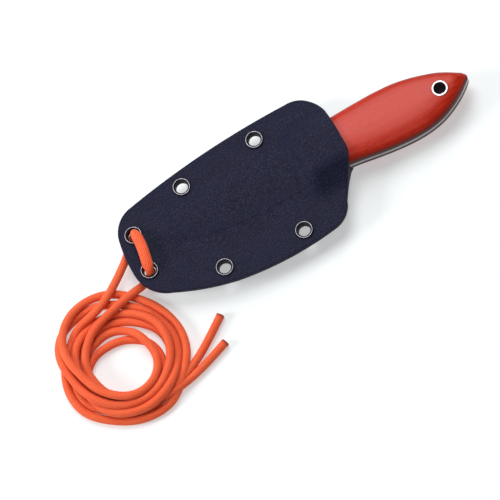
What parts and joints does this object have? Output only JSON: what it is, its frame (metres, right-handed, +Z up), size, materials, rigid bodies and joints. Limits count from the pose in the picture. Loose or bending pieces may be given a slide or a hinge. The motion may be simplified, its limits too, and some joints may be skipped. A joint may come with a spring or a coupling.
{
  "type": "sheath knife with neck cord",
  "caption": "Small full-tang fixed-blade knife with red scales in a black two-shell sheath with open eyelets and an orange neck cord coiled beside it.",
  "frame": {"origin": "on the surface under the middle of the knife and sheath, cord not counted", "axes": "+X along the knife towards the butt, which is the way it draws; +Y towards the blade's spine; +Z up through the sheath's front shell"},
  "size_m": [0.2421, 0.1056, 0.0202],
  "materials": {
    "sheath_plastic": "fine matte grain, blue-black",
    "eyelet_black": "black coating, bright where the crest is worn",
    "blade_steel": "satin",
    "tube_steel": "polished ring, dark bore",
    "pin_steel": "satin",
    "liner_black": "matte fibre sheet",
    "scale_red": "sanded and polished red laminate",
    "cord_orange": "braided nylon sheath"
  },
  "bodies": {
    "sheath": {"sheath_shell_front": "sheath_plastic", "sheath_shell_back": "sheath_plastic", "eyelet_spine_toe": "eyelet_black", "eyelet_spine_mouth": "eyelet_black", "eyelet_edge_toe": "eyelet_black", "eyelet_edge_mouth": "eyelet_black", "lanyard_eyelet_upper": "eyelet_black", "lanyard_eyelet_lower": "eyelet_black", "neck_cord_leg_a": "cord_orange", "neck_cord_leg_b": "cord_orange", "neck_cord_tail_a": "cord_orange", "neck_cord_tail_b": "cord_orange", "neck_cord_coil": "cord_orange"},
    "knife": {"blade": "blade_steel", "lanyard_tube": "tube_steel", "front_pin": "pin_steel", "liner_front": "liner_black", "liner_back": "liner_black", "scale_front": "scale_red", "scale_back": "scale_red"}
  },
  "joints": [
    {"name": "knife_draw", "type": "slide", "parent": "sheath", "child": "knife", "axis": [1, 0, 0], "range_m": [0, 0.105]}
  ]
}
